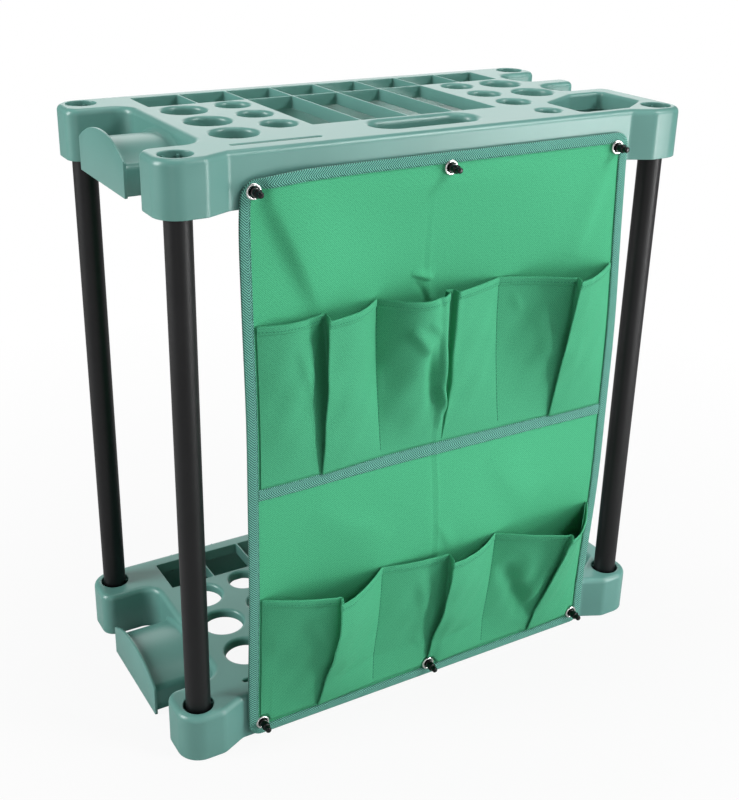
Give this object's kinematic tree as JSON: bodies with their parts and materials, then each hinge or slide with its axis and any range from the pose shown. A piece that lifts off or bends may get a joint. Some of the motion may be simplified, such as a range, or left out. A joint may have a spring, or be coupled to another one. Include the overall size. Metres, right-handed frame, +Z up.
{
  "type": "garden tool organizer",
  "caption": "Free-standing rack for garden tools: moulded trays with cells, round holes and hose cradles on steel tubes, with a pocketed cloth panel pegged to the front.",
  "frame": {"origin": "midway in width and depth, on the ground under the object", "axes": "+Z up, -Y towards the cloth panel at the front, +X towards the end with the two notches"},
  "size_m": [0.576, 0.3578, 0.6077],
  "materials": {
    "tray": "satin",
    "tube": "satin",
    "cloth": "matte",
    "tape": "matte",
    "eyelet": "polished",
    "peg": "gloss"
  },
  "bodies": {
    "root": {"bottom_tray": "tray", "top_tray": "tray", "tube_front_left": "tube", "tube_front_right": "tube", "tube_back_left": "tube", "tube_back_right": "tube", "fabric_back": "cloth", "edge_binding": "tape", "middle_tape": "tape", "pocket_strip_upper": "cloth", "pocket_strip_lower": "cloth", "eyelet_top_left": "eyelet", "eyelet_top_middle": "eyelet", "eyelet_top_right": "eyelet", "eyelet_bottom_left": "eyelet", "eyelet_bottom_middle": "eyelet", "eyelet_bottom_right": "eyelet", "washer_top_left": "eyelet", "washer_top_middle": "eyelet", "washer_top_right": "eyelet", "washer_bottom_left": "eyelet", "washer_bottom_middle": "eyelet", "washer_bottom_right": "eyelet", "peg_top_left": "peg", "peg_top_middle": "peg", "peg_top_right": "peg", "peg_bottom_left": "peg", "peg_bottom_middle": "peg", "peg_bottom_right": "peg"}
  },
  "joints": []
}
